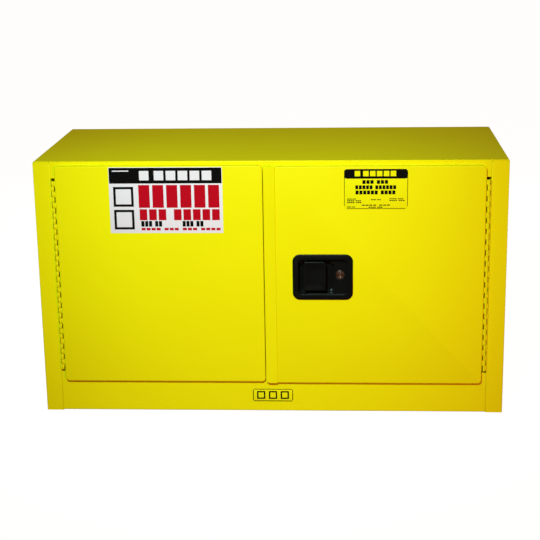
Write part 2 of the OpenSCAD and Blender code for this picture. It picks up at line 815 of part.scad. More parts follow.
module top_bullet() {
    color(STEEL) translate([top_rod_x, rod_y, 0]) bullet(top_bullet_z + 0.05, top_tip_z);
}

module bottom_bullet() {
    color(STEEL) translate([bottom_rod_x, rod_y, 0]) bullet(bottom_bullet_z - 0.05, bottom_tip_z);
}

// Bracket on the door's tray with a bore that the rod runs in
module rod_guide(x, z) {
    difference() {
        union() {
            block([x - 10, rod_y - 7, z], [x + 10, tray_back - sheet - 0.05, z + 2.5]);
            block([x - 14, tray_back - sheet - 1.55, z - 14], [x + 14, tray_back - sheet - 0.05, z + 14]);
        }
        translate([x, rod_y, z - 15]) cylinder(h = 30, r = rod_r + bore_play);
    }
}

top_guide_z = 488;
bottom_guide_z = 180;
module top_rod_guide() { color(STEEL) rod_guide(top_rod_x, top_guide_z); }
module bottom_rod_guide() { color(STEEL) rod_guide(bottom_rod_x, bottom_guide_z); }

// Centre bolt: a tongue past the door's free edge, on a bar with an upright slot for the cam's pin
module latch_bolt() {
    pin_x = cam_x - bolt_reach * sin(half_turn);
    slot = cam_pin_r + 0.15;
    color(STEEL) {
        difference() {
            block([bolt_tip_x, rod_y - 4, bolt_z - 7], [30, rod_y + 4, bolt_z + 7]);
            translate([bolt_tip_x, rod_y - 4, bolt_z - 8]) rotate([0, 0, 45])
                translate([-4, -4, 0]) cube([8, 8, 16]);
        }
        upright(bar_y0, bar_y1) difference() {
            translate([29, bolt_z - 6]) square([pin_x + 8 - 29, 12]);
            translate([pin_x, bolt_z - 0.6]) circle(slot);
            translate([pin_x, bolt_z + 0.6]) circle(slot);
            translate([pin_x - slot, bolt_z - 0.6]) square([2 * slot, 1.2]);
        }
    }
}

// Loop on the tray that the bolt slides in
module bolt_guide() {
    x0 = 8;
    color(STEEL) difference() {
        block([x0, rod_y - 6.5, bolt_z - 16], [x0 + 8, tray_back - sheet - 0.05, bolt_z + 16]);
        block([x0 - 1, rod_y - 4.1, bolt_z - 7.1], [x0 + 9, rod_y + 4.1, bolt_z + 7.1]);
    }
}

// ---------- springs ----------
wire_r = 0.7;
coil_r = 5.4;
spring_sides = 6;
spring_steps = 12;
spring_turns = 7;

// Compression spring as one swept tube, closed at both ends
module coil_spring(z0, z1) {
    n = spring_steps * spring_turns;
    rise = z1 - z0 - 2 * wire_r;
    points = [for (i = [0 : n]) for (j = [0 : spring_sides - 1])
        let (a = 360 * i / spring_steps, b = 360 * j / spring_sides, r = coil_r + wire_r * cos(b))
        [r * cos(a), r * sin(a), z0 + wire_r + rise * i / n + wire_r * sin(b)]];
    sides = [for (i = [0 : n - 1]) for (j = [0 : spring_sides - 1])
        let (k = (j + 1) % spring_sides, p = i * spring_sides, q = p + spring_sides)
        [p + j, q + j, q + k, p + k]];
    first_cap = [for (j = [0 : spring_sides - 1]) j];
    last_cap = [for (j = [spring_sides - 1 : -1 : 0]) n * spring_sides + j];
    polyhedron(points, concat(sides, [first_cap, last_cap]), convexity = 10);
}

module top_spring() {
    color(STEEL) translate([top_rod_x, rod_y, 0]) coil_spring(top_guide_z + 2.7, top_bullet_z - 0.2);
}

module bottom_spring() {
    color(STEEL) translate([bottom_rod_x, rod_y, 0])
        coil_spring(bottom_bullet_z + 0.2, bottom_guide_z - 0.2);
}

// ---------- strikes in the frame ----------
strike_hole_r = 7;
strike_spots = [[top_rod_x, opening_top - strike_t - 0.05], [bottom_rod_x, sill_z + 0.05]];

module strike_plate(spot) {
    translate([spot[0], rod_y, spot[1]]) linear_extrude(strike_t) difference() {
        translate([0, -1]) round_rect(50, 20, 3);
        circle(strike_hole_r);
        for (x = [-18, 18]) translate([x, 0]) circle(2.1);
    }
}

module top_strike_plate() { color(STEEL) strike_plate(strike_spots[0]); }
module bottom_strike_plate() { color(STEEL) strike_plate(strike_spots[1]); }

// Low-headed screws that hold the two strike plates
module strike_screws() {
    color(ZINC) for (x = [-18, 18]) {
        translate([top_rod_x + x, rod_y, opening_top - strike_t - 0.7]) cylinder(h = 0.6, r = 3.4);
        translate([top_rod_x + x, rod_y, opening_top - strike_t - 0.2]) cylinder(h = 6, r = 2);
        translate([bottom_rod_x + x, rod_y, sill_z + strike_t + 0.1]) cylinder(h = 0.6, r = 3.4);
        translate([bottom_rod_x + x, rod_y, sill_z + strike_t + 0.2 - 6]) cylinder(h = 6, r = 2);
    }
}

// ---------- what is drawn ----------
outer_left_side();
outer_right_side();
outer_top();
outer_bottom();
outer_back();
bottom_rail();
inner_left_side();
inner_right_side();
inner_top();
inner_back();
sump_pan();
left_frame_hinge_leaf();
right_frame_hinge_leaf();
left_hinge_pin();
right_hinge_pin();
left_vent_collar();
right_vent_collar();
left_flame_arrester();
right_flame_arrester();
left_vent_plug();
right_vent_plug();
shelf();
shelf_hangers();
ground_stud();
ground_nut();
top_strike_plate();
bottom_strike_plate();
strike_screws();
rail_label();
left_door_skin();
left_door_liner();
left_door_hinge_leaf();
left_door_strike();
warning_label();
right_door_skin();
right_door_liner();
right_door_hinge_leaf();
name_label();
handle_cup();
paddle();
paddle_pin();
lock_body();
lock_nut();
lock_plug();
lock_tongue();
latch_plate();
latch_plate_screws();
cam_pivot();
latch_cam();
latch_bolt();
bolt_guide();
top_rod();
top_bullet();
bottom_rod();
bottom_bullet();
top_rod_guide();
bottom_rod_guide();
top_spring();
bottom_spring();
access_cover();
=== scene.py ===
"""A low flammable liquids storage cabinet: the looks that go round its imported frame.

The sections follow the cabinet as it is put together, from the welded shell to the vents.
Everything is in metres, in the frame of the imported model: +X right, +Y to the back, +Z up.
"""

import math

import bpy
from mathutils import Matrix, Vector


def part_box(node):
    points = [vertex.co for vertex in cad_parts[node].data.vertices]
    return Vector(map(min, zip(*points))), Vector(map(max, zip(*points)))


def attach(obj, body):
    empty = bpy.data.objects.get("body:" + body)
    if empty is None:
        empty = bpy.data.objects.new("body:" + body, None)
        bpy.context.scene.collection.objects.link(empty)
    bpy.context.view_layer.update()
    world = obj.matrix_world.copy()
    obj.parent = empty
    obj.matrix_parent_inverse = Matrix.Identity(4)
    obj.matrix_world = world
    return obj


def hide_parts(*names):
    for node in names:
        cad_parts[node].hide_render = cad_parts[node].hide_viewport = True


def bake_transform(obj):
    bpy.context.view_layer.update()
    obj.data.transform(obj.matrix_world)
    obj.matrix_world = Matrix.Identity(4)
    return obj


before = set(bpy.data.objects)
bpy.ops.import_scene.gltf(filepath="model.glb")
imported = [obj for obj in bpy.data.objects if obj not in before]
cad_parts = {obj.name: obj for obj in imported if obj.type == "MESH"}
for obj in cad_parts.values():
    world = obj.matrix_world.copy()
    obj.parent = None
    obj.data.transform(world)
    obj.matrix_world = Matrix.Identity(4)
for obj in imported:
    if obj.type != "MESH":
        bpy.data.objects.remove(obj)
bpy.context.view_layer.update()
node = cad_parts

# --- Camera ---------------------------------------------------------------------------------
# A short telephoto lens, a little above the cabinet and a little to the right of its middle.

yaw, pitch, roll = math.radians(3.4874), math.radians(15.3663), math.radians(-0.9163)
ahead = Vector((-math.sin(yaw) * math.cos(pitch), math.cos(yaw) * math.cos(pitch), -math.sin(pitch)))
level = Vector((math.cos(yaw), math.sin(yaw), 0))
upright = level.cross(ahead)
across = level * math.cos(roll) + upright * math.sin(roll)
above = upright * math.cos(roll) - level * math.sin(roll)
bpy.ops.object.select_all(action="DESELECT")
bpy.ops.object.camera_add(location=(0.18259, -3.23593, 1.17899))
camera = bpy.context.object
camera.rotation_euler = Matrix((across, above, -ahead)).transposed().to_euler()
camera.data.lens, camera.data.sensor_width = 89.367, 36
bpy.context.scene.camera = camera

# --- Studio ---------------------------------------------------------------------------------
# A white backdrop for the camera and a dim, warm room for all other light. A cool key from high
# in front shades the doors' lower edges; weak low boxes fill in the front, both sides and back.

scene = bpy.context.scene
scene.view_settings.view_transform = "Standard"
scene.world = bpy.data.worlds.new("studio")
scene.world.use_nodes = True
sky = scene.world.node_tree
backdrop, room = sky.nodes["Background"], sky.nodes.new("ShaderNodeBackground")
seen, choice = sky.nodes.new("ShaderNodeLightPath"), sky.nodes.new("ShaderNodeMixShader")
backdrop.inputs["Color"].default_value = (1, 1, 1, 1)
room.inputs["Color"].default_value = (1.0, 0.4, 0.16, 1)
room.inputs["Strength"].default_value = 0.22
sky.links.new(seen.outputs["Is Camera Ray"], choice.inputs[0])
sky.links.new(room.outputs[0], choice.inputs[1])
sky.links.new(backdrop.outputs[0], choice.inputs[2])
sky.links.new(choice.outputs[0], sky.nodes["World Output"].inputs["Surface"])


def lamp(kind, name, place, aim, power, colour, **shape):
    """A lamp at a place, turned to face its aim."""
    bpy.ops.object.light_add(type=kind, location=place)
    made = bpy.context.object
    made.name = name
    made.rotation_euler = (Vector(aim) - Vector(place)).to_track_quat("-Z", "Y").to_euler()
    made.data.energy, made.data.color = power, colour
    for key, value in shape.items():
        setattr(made.data, key, value)


lamp("SPOT", "key", (-0.18, -2.35, 1.8), (-0.04, -0.24, 0.5), 292, (0.67, 1.0, 0.95),
     spot_size=math.radians(44), spot_blend=1.0, shadow_soft_size=0.05)
lamp("AREA", "warm_box", (1.1, -2.7, 0.2), (0.15, -0.24, 0.05), 26, (1.0, 0.16, 0.03), size=0.5)
bpy.context.object.visible_glossy = False
lamp("AREA", "left_box", (-2.4, 0.3, 0.3), (-0.5, 0.1, 0.3), 13, (1.0, 0.98, 0.9), size=0.56)
lamp("AREA", "right_box", (2.4, 0.3, 0.3), (0.5, 0.1, 0.3), 13, (1.0, 0.98, 0.9), size=0.56)
lamp("AREA", "rear_box", (0, 2.6, 0.3), (0, 0.2, 0.3), 15, (1.0, 0.98, 0.9), size=0.56)

bpy.ops.mesh.primitive_plane_add(size=60, location=(0, 0, 0))
floor = bpy.context.object
floor.name = "floor"


class Value:
    """A socket of numbers that adds Math nodes when it is used in arithmetic."""

    def __init__(self, finish, socket):
        self.finish, self.socket = finish, socket

    def math(self, operation, *terms):
        return self.finish.node("Math", {"operation": operation}, list(terms))

    def __add__(self, other): return self.math("ADD", self, other)
    def __radd__(self, other): return self.math("ADD", other, self)
    def __sub__(self, other): return self.math("SUBTRACT", self, other)
    def __rsub__(self, other): return self.math("SUBTRACT", other, self)
    def __mul__(self, other): return self.math("MULTIPLY", self, other)
    def __rmul__(self, other): return self.math("MULTIPLY", other, self)
    def __truediv__(self, other): return self.math("DIVIDE", self, other)
    def __pow__(self, other): return self.math("POWER", self, other)
    def clamp(self): return self.math("MINIMUM", self.math("MAXIMUM", self, 0), 1)


class Finish:
    """A material, with one method that adds any node and links or sets its inputs."""

    def __init__(self, name, **fixed):
        self.material = bpy.data.materials.new(name)
        self.material.use_nodes = True
        self.tree = self.material.node_tree
        self.surface = self.tree.nodes["Principled BSDF"]
        for plug, value in fixed.items():
            self.surface.inputs[plug.replace("_", " ")].default_value = value
        self.place = self.node("TexCoord", {}, {}, "Object")

    def node(self, kind, settings, inputs, output=0):
        made = self.tree.nodes.new("ShaderNode" + kind)
        for key, value in settings.items():
            setattr(made, key, value)
        pairs = inputs.items() if isinstance(inputs, dict) else enumerate(inputs)
        for plug, value in pairs:
            self.feed(made.inputs[plug], value)
        return Value(self, made.outputs[output])

    def feed(self, plug, value):
        if isinstance(value, Value):
            self.tree.links.new(value.socket, plug)
        else:
            plug.default_value = value

    def noise(self, scale, detail=3.0, roughness=0.5):
        return self.node("TexNoise", {}, {"Vector": self.place, "Scale": scale, "Detail": detail,
                                          "Roughness": roughness})

    def blend_colours(self, amount, first, second):
        settings = {"data_type": "RGBA"}
        return self.node("Mix", settings, {0: amount, 6: (*first, 1), 7: (*second, 1)}, 2)

    def show(self, colour=None, roughness=None, height=None, bump=0.1, depth=0.001):
        for plug, value in (("Base Color", colour), ("Roughness", roughness)):
            if value is not None:
                self.feed(self.surface.inputs[plug], value)
        if height is not None:
            raised = self.node("Bump", {}, {"Height": height, "Strength": bump, "Distance": depth})
            self.feed(self.surface.inputs["Normal"], raised)
        return self.material


def paper_finish():
    """Matt paper that glows white for the camera alone, so that no horizon shows."""
    paper = Finish("studio_paper", Specular_IOR_Level=0.0)
    grain = paper.noise(40)
    paper.show(paper.blend_colours(grain, (0.15, 0.15, 0.15), (0.16, 0.16, 0.16)), 0.9)
    glow = paper.node("Emission", {}, {"Strength": 0.97})
    both = paper.node("AddShader", {}, [Value(paper, paper.surface.outputs[0]), glow])
    seen = paper.node("LightPath", {}, {})
    mixed = paper.node("MixShader", {}, [seen, Value(paper, paper.surface.outputs[0]), both])
    paper.tree.links.new(mixed.socket, paper.tree.nodes["Material Output"].inputs["Surface"])
    return paper.material


floor.data.materials.append(paper_finish())

# --- Welded shell ---------------------------------------------------------------------------
# Folded and spot-welded sheet steel with a thick, slightly pebbled powder coat. The folds are
# round in the frame; the cut edges get the small radius that the coat gives them.

def paint_finish(name, deep, bright, gloss):
    paint = Finish(name, Specular_IOR_Level=0.07)
    drift, pebble, speck = paint.noise(2.6, 2), paint.noise(520, 2), paint.noise(2400, 1)
    cloudy = (drift * 1.8 - 0.4).clamp()
    colour = paint.blend_colours(cloudy * 0.75 + pebble * 0.25, deep, bright)
    roughness = gloss + drift * 0.06 + speck * 0.05
    return paint.show(colour, roughness, pebble + speck * 0.2, 0.16, 0.0004)


def dress(names, material, edge=0.00035, segments=2):
    """Gives CAD nodes a material, and a radius on their edges from modifiers."""
    for name in names:
        piece = node[name]
        piece.data.materials.clear()
        piece.data.materials.append(material)
        if edge:
            weld = piece.modifiers.new("weld", "WELD")
            weld.merge_threshold = 1e-5
            flat = piece.modifiers.new("flat", "DECIMATE")
            flat.decimate_type, flat.angle_limit = "DISSOLVE", math.radians(0.5)
            soften = piece.modifiers.new("soften", "BEVEL")
            soften.width, soften.segments = edge, segments
            soften.limit_method, soften.angle_limit = "ANGLE", math.radians(40)
            soften.use_clamp_overlap = True


outside_paint = paint_finish("outside_paint", (0.80, 0.735, 0.0015), (0.84, 0.79, 0.002), 0.34)
inside_paint = paint_finish("inside_paint", (0.78, 0.69, 0.002), (0.82, 0.74, 0.003), 0.40)
dress(["outer_left_side", "outer_right_side", "outer_top", "outer_bottom", "outer_back",
       "bottom_rail"], outside_paint)
dress(["inner_left_side", "inner_right_side", "inner_top", "inner_back", "sump_pan"], inside_paint)

# --- Piano hinges ---------------------------------------------------------------------------
# Rolled steel leaves painted with the cabinet, on a bare drawn pin.

def steel_finish(name, dark, light, gloss, grain_scale):
    steel = Finish(name, Metallic=1.0)
    grain, patch = steel.noise(grain_scale, 4, 0.7), steel.noise(18, 2)
    colour = steel.blend_colours((grain * 0.5 + patch * 0.5).clamp(), dark, light)
    return steel.show(colour, gloss + grain * 0.14 + patch * 0.08, grain, 0.08, 0.0002)


plain_steel = steel_finish("plain_steel", (0.42, 0.43, 0.44), (0.62, 0.63, 0.64), 0.28, 900)
dress(["left_frame_hinge_leaf", "right_frame_hinge_leaf", "left_door_hinge_leaf",
       "right_door_hinge_leaf"], outside_paint, 0.0002, 1)
dress(["left_hinge_pin", "right_hinge_pin"], plain_steel)

# --- Door skins -----------------------------------------------------------------------------
# Each is one sheet folded back on its edges, with round corners. The right one's free edge is
# joggled forward into a lip that laps over the left door.

sheet = 0.0012


def block(name, low, high):
    """A box from its lowest to its highest corner, alone in the selection."""
    bpy.ops.object.select_all(action="DESELECT")
    middle = [(a + b) / 2 for a, b in zip(low, high)]
    bpy.ops.mesh.primitive_cube_add(size=1, location=middle, scale=[b - a for a, b in zip(low, high)])
    piece = bpy.context.object
    piece.name = piece.data.name = name
    bpy.ops.object.transform_apply(location=True, rotation=True, scale=True)
    return piece


def edit(piece, parts, test):
    """Opens a piece in edit mode with only the parts that pass the test selected."""
    if bpy.context.object and bpy.context.object.mode == "EDIT":
        bpy.ops.object.mode_set(mode="OBJECT")
    bpy.ops.object.select_all(action="DESELECT")
    piece.select_set(True)
    bpy.context.view_layer.objects.active = piece
    bpy.ops.object.mode_set(mode="EDIT")
    bpy.ops.mesh.select_mode(type=parts)
    bpy.ops.mesh.select_all(action="DESELECT")
    bpy.ops.object.mode_set(mode="OBJECT")
    mesh = piece.data
    corner = [v.co for v in mesh.vertices]
    lists = {"VERT": mesh.vertices, "EDGE": mesh.edges, "FACE": mesh.polygons}
    for part in lists[parts]:
        if parts == "VERT":
            part.select = test(part.co)
        elif parts == "EDGE":
            part.select = test(corner[part.vertices[0]], corner[part.vertices[1]])
        else:
            part.select = test(part.center, part.normal)
    bpy.ops.object.mode_set(mode="EDIT")


def close_edit():
    bpy.ops.object.mode_set(mode="OBJECT")


def near(a, b, slack=2e-5):
    return abs(a - b) < slack


def round_corners(piece, radius, keep=lambda a: True, segments=8):
    """Rounds the edges that run along Y."""
    edit(piece, "EDGE", lambda a, b: near(a.x, b.x) and near(a.z, b.z) and keep(a))
    bpy.ops.mesh.bevel(offset=radius, segments=segments, affect="EDGES")
    close_edit()


def round_front(piece, front, radius, segments=4, keep=lambda a, b: True):
    """Rounds the rim of a front face."""
    edit(piece, "EDGE", lambda a, b: near(a.y, front) and near(b.y, front) and keep(a, b))
    bpy.ops.mesh.bevel(offset=radius, segments=segments, affect="EDGES")
    close_edit()


def apply_modifier(piece, kind, **settings):
    bpy.ops.object.select_all(action="DESELECT")
    piece.select_set(True)
    bpy.context.view_layer.objects.active = piece
    made = piece.modifiers.new(kind.lower(), kind)
    for key, value in settings.items():
        setattr(made, key, value)
    bpy.ops.object.modifier_apply(modifier=made.name)


def cut(piece, cutter, operation="DIFFERENCE"):
    apply_modifier(piece, "BOOLEAN", object=cutter, operation=operation, solver="EXACT")
    bpy.data.objects.remove(cutter)


def finish_piece(piece, material, body, slot, *replaced, smooth=35):
    piece.data.materials.clear()
    piece.data.materials.append(material)
    bpy.ops.object.select_all(action="DESELECT")
    piece.select_set(True)
    bpy.context.view_layer.objects.active = piece
    if smooth:
        bpy.ops.object.shade_smooth_by_angle(angle=math.radians(smooth))
    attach(piece, body)
    if replaced:
        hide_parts(*replaced)


corner_r, fold_r = 0.009, 0.0022
low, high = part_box("left_door_skin")
left_skin = block("left_door_sheet", low, high)
round_corners(left_skin, corner_r)
round_front(left_skin, low.y, fold_r)
edit(left_skin, "FACE", lambda centre, normal: normal.y > 0.9)
bpy.ops.mesh.delete(type="FACE")
close_edit()
apply_modifier(left_skin, "SOLIDIFY", thickness=sheet, offset=-1, use_even_offset=True)
finish_piece(left_skin, outside_paint, "left_door", "yellow_paint", "left_door_skin")
skin_front = low.y

low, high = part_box("right_door_skin")
lip_step, lip_w = skin_front - low.y, 0.026
step_x = low.x + lip_w + lip_step
right_skin = block("right_door_sheet", (step_x, skin_front, low.z), high)
round_corners(right_skin, corner_r, lambda a: a.x > step_x + corner_r)
round_front(right_skin, skin_front, fold_r,
            keep=lambda a, b: not (near(a.x, step_x) and near(b.x, step_x)))
edit(right_skin, "FACE", lambda centre, normal: normal.y > 0.9 or normal.x < -0.9)
bpy.ops.mesh.delete(type="FACE")
close_edit()
edit(right_skin, "EDGE", lambda a, b: near(a.x, step_x) and near(b.x, step_x)
     and near(a.y, skin_front) and near(b.y, skin_front))
bpy.ops.mesh.extrude_region_move(TRANSFORM_OT_translate={"value": (-lip_step, -lip_step, 0)})
stretch = (high.z - low.z) / (high.z - low.z - 2 * fold_r)
bpy.ops.transform.resize(value=(1, 1, stretch), center_override=(0, 0, (high.z + low.z) / 2))
bpy.ops.mesh.extrude_region_move(TRANSFORM_OT_translate={"value": (-lip_w, 0, 0)})
close_edit()
edit(right_skin, "VERT", lambda a: near(a.x, low.x))
bpy.ops.mesh.bevel(offset=corner_r, segments=8, affect="VERTICES")
close_edit()
apply_modifier(right_skin, "SOLIDIFY", thickness=sheet, offset=-1, use_even_offset=True)
cup_low, cup_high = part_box("handle_cup")
cup_mid = (cup_low + cup_high) / 2
cup_w, cup_h = 0.117, 0.086
half_x, half_z, through = cup_w / 2 + 0.0005, cup_h / 2 + 0.0005, 0.01
opening = block("opening_cutter", (cup_mid.x - half_x, skin_front - through, cup_mid.z - half_z),
                (cup_mid.x + half_x, skin_front + through, cup_mid.z + half_z))
round_corners(opening, 0.012)
cut(right_skin, opening)
finish_piece(right_skin, outside_paint, "right_door", "yellow_paint", "right_door_skin")

# --- Door trays and the latch cover ---------------------------------------------------------
# Inner trays spot-welded behind the skins, and a plate over the latch.

dress(["left_door_liner", "right_door_liner", "access_cover"], inside_paint)
dress(["left_door_strike"], plain_steel)

# --- Labels ---------------------------------------------------------------------------------
# Printed vinyl stuck on the doors and the rail. The print is generic, in thin raised ink: plain
# bands, blocks and squares, with no words, no signs and no marks.

def film_finish(name, dark, light, shine=0.3):
    film = Finish(name, Specular_IOR_Level=shine)
    fibre = film.noise(900, 2)
    return film.show(film.blend_colours(fibre, dark, light), 0.30 + fibre * 0.08, fibre, 0.04, 0.0001)


white_film = film_finish("white_film", (0.75, 0.72, 0.80), (0.78, 0.75, 0.83))
yellow_film = film_finish("yellow_film", (0.79, 0.76, 0.002), (0.83, 0.81, 0.003), 0.07)
black_ink = film_finish("black_ink", (0.0022, 0.0021, 0.0021), (0.004, 0.0038, 0.0038), 0.1)
red_ink = film_finish("red_ink", (0.42, 0.002, 0.010), (0.48, 0.003, 0.014), 0.1)
ink_t = 0.00005


class Print:
    """One colour of ink on one label, in millimetres from the label's lower left corner."""

    def __init__(self, name, label, lift=0):
        self.name, self.parts = name, []
        self.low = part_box(label)[0]
        self.back_y = self.low.y - 0.00003 - lift

    def bar(self, x, z, w, h, radius=0.4):
        x0, z0 = self.low.x + x / 1000, self.low.z + z / 1000
        piece = block(self.name, (x0, self.back_y - ink_t, z0),
                      (x0 + w / 1000, self.back_y, z0 + h / 1000))
        if radius:
            round_corners(piece, radius / 1000, segments=3)
        self.parts.append(piece)

    def row(self, x, z, h, groups, width):
        """A row of blocks in groups, such as [3, 2], with a wider gap between groups."""
        slots = sum(groups) + 0.6 * (len(groups) - 1)
        pitch, at = width / slots, x
        for count in groups:
            for _ in range(count):
                self.bar(at, z, pitch * 0.8, h, min(0.5, h / 6))
                at += pitch
            at += pitch * 0.6

    def shape(self, sides, x, z, radius, line, turn=0):
        """An open polygon."""
        bpy.ops.object.select_all(action="DESELECT")
        place = (self.low.x + x / 1000, self.back_y - ink_t / 2, self.low.z + z / 1000)
        bpy.ops.mesh.primitive_cylinder_add(vertices=sides, radius=radius / 1000, depth=ink_t,
                                            location=place, rotation=(math.pi / 2, turn, 0))
        piece = bpy.context.object
        bpy.ops.object.transform_apply(location=True, rotation=True, scale=True)
        edit(piece, "FACE", lambda centre, normal: abs(normal.y) > 0.9)
        bpy.ops.mesh.inset(thickness=line / 1000, use_individual=True)
        bpy.ops.mesh.bridge_edge_loops()
        close_edit()
        self.parts.append(piece)

    def done(self, material, body, slot):
        bpy.ops.object.select_all(action="DESELECT")
        for piece in self.parts:
            piece.select_set(True)
        bpy.context.view_layer.objects.active = self.parts[0]
        bpy.ops.object.join()
        sheet_of_ink = bpy.context.object
        sheet_of_ink.name = sheet_of_ink.data.name = self.name
        finish_piece(sheet_of_ink, material, body, slot, smooth=0)


def film(name, radius):
    """The label's film, with round corners and a soft edge, in place of the plain solid."""
    low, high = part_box(name)
    piece = block(name + "_film", low, high)
    round_corners(piece, radius)
    round_front(piece, low.y, 0.00008, 2)
    return piece


finish_piece(film("warning_label", 0.001), white_film, "left_door", "label_white", "warning_label")
square = math.pi / 4
black = Print("warning_label_black", "warning_label")
black.bar(1.2, 117, 259.6, 36.8, 0.8)
for z in (86, 32):
    black.shape(4, 33, z, 33, 5.6, square)
for x in (72, 168):
    black.row(x, 15.5, 13.2, [3, 2], 50)
black.done(black_ink, "left_door", "handle_black")
red = Print("warning_label_red", "warning_label", 0.00001)
red.row(68, 60, 53.5, [6], 193)
red.row(69, 30.5, 26, [3, 5], 190)
red.row(72, 6.5, 6, [4, 3], 89)
red.row(168, 6.5, 6, [3, 4], 90)
red.done(red_ink, "left_door", "label_white")
white = Print("warning_label_white", "warning_label", 0.00007)
white.bar(71, 124.5, 22, 22, 1)
white.row(105, 124.5, 22, [5], 138)
white.bar(9, 145, 38, 2.5, 0.4)
white.done(white_film, "left_door", "label_white")

finish_piece(film("name_label", 0.007), yellow_film, "right_door", "label_yellow", "name_label")
black = Print("name_label_black", "name_label")
black.bar(0.9, 71, 144.7, 22.2, 6)
for x, z, w, h in ((0.9, 7, 1.2, 78), (144.4, 7, 1.2, 78), (7, 0.9, 132.5, 1.2)):
    black.bar(x, z, w, h, 0)
black.row(42.5, 59, 8.5, [3, 3], 60)
black.row(26.5, 46.5, 9, [5, 6], 94)
black.row(27, 34.5, 9, [6, 4], 92)
for x, z, w in ((8, 22.5, 20), (8, 18.5, 32), (8, 14.5, 33), (8, 4, 18), (104, 23, 32),
                (104, 19, 35), (62, 21, 23), (41, 8.2, 66), (57, 3.4, 32)):
    black.row(x, z, 2.4, [4, 3], w)
black.done(black_ink, "right_door", "handle_black")
yellow_marks = Print("name_label_yellow", "name_label", 0.00007)
yellow_marks.bar(25, 76.5, 12.5, 12.5, 0.6)
yellow_marks.row(44, 76.5, 12.5, [5], 78)
yellow_marks.done(yellow_film, "right_door", "label_yellow")

finish_piece(film("rail_label", 0.004), yellow_film, "cabinet", "label_yellow", "rail_label")
black = Print("rail_label_black", "rail_label")
for x, z, w, h in ((3, 0.8, 91.5, 1.7), (3, 30.5, 91.5, 1.7),
                   (0.8, 3, 1.7, 27), (95, 3, 1.7, 27)):
    black.bar(x, z, w, h, 0)
for x in (20.5, 48.75, 77):
    black.shape(4, x, 16.5, 14, 3.4, square)
black.done(black_ink, "cabinet", "handle_black")

# --- Handle ---------------------------------------------------------------------------------
# A die-cast cup and paddle with a fine satin black coat. Every rim is well rounded, the paddle's
# face is slightly dished, and it turns on a steel pin pressed into the cup.

def satin_black():
    coat = Finish("satin_black", Specular_IOR_Level=0.2)
    grain, wear = coat.noise(1500, 3, 0.6), coat.noise(30, 3)
    colour = coat.blend_colours((wear * 1.4 - 0.3).clamp(), (0.0014, 0.0013, 0.0013),
                                (0.0032, 0.0030, 0.0030))
    return coat.show(colour, 0.30 + grain * 0.12 + wear * 0.08, grain, 0.12, 0.0002)


def cylinder(name, x, z, radius, y0, y1, sides=64, lean=0.0, along="Y", y=0.0):
    """A round bar along Y, wider by lean at its front end, or along Z from y0 up to y1."""
    bpy.ops.object.select_all(action="DESELECT")
    middle = (x, (y0 + y1) / 2, z) if along == "Y" else (x, y, (y0 + y1) / 2)
    turn = (math.pi / 2, 0, 0) if along == "Y" else (0, 0, 0)
    bpy.ops.mesh.primitive_cone_add(vertices=sides, radius1=radius, radius2=radius + lean,
                                    depth=y1 - y0, location=middle, rotation=turn)
    piece = bpy.context.object
    piece.name = piece.data.name = name
    bpy.ops.object.transform_apply(location=True, rotation=True, scale=True)
    return piece


def flare(cutter, y, radius, steps=5):
    """Carries a cutter's front face forward to y, opening out in a quarter round at its end."""
    low = min(v.co.y for v in cutter.data.vertices)
    xs, zs = [v.co.x for v in cutter.data.vertices], [v.co.z for v in cutter.data.vertices]
    middle = ((max(xs) + min(xs)) / 2, 0, (max(zs) + min(zs)) / 2)
    w, h = max(xs) - min(xs), max(zs) - min(zs)
    edit(cutter, "FACE", lambda centre, normal: near(centre.y, low))
    bpy.ops.mesh.extrude_region_move(TRANSFORM_OT_translate={"value": (0, y + radius - low, 0)})
    grown, gone = 0.0, 0.0
    for step in range(1, steps + 1):
        turn = math.pi / 2 * step / steps
        out, ahead_by = radius * (1 - math.cos(turn)), radius * math.sin(turn)
        bpy.ops.mesh.extrude_region_move(TRANSFORM_OT_translate={"value": (0, gone - ahead_by, 0)})
        wider, taller = (w + 2 * out) / (w + 2 * grown), (h + 2 * out) / (h + 2 * grown)
        bpy.ops.transform.resize(value=(wider, 1, taller), center_override=middle)
        grown, gone = out, ahead_by
    bpy.ops.mesh.extrude_region_move(TRANSFORM_OT_translate={"value": (0, -0.002, 0)})
    close_edit()


black_coat = satin_black()
bezel_y, shelf_y, floor_y = cup_low.y, skin_front + 0.006, skin_front + 0.022
wall, overlap = 0.002, 0.001
bezel_r, rim_r, tray_r = 0.017, 0.0016, 0.012
pin_bore_r, pin_reach = 0.00206, 0.044
cup = block("handle_casting", (cup_low.x, bezel_y, cup_low.z),
            (cup_high.x, skin_front - 0.00005, cup_high.z))
round_corners(cup, bezel_r, segments=12)
round_front(cup, bezel_y, rim_r, 4)
tray = block("tray", (cup_mid.x - cup_w / 2, skin_front - 0.001, cup_mid.z - cup_h / 2),
             (cup_mid.x + cup_w / 2, shelf_y + wall, cup_mid.z + cup_h / 2))
round_corners(tray, tray_r)
cut(cup, tray, "UNION")
left_x, right_x = cup_mid.x - 0.0565, cup_mid.x + 0.0257
foot_z, head_z = cup_mid.z - 0.041, cup_mid.z + 0.038


def pocket(name, y0, y1, grow, chamfer=0.012):
    made = block(name, (left_x - grow, y0, foot_z - grow), (right_x + grow, y1, head_z + grow))
    round_corners(made, chamfer + grow * 0.6, lambda a: a.x > cup_mid.x and a.z > cup_mid.z, 1)
    return made


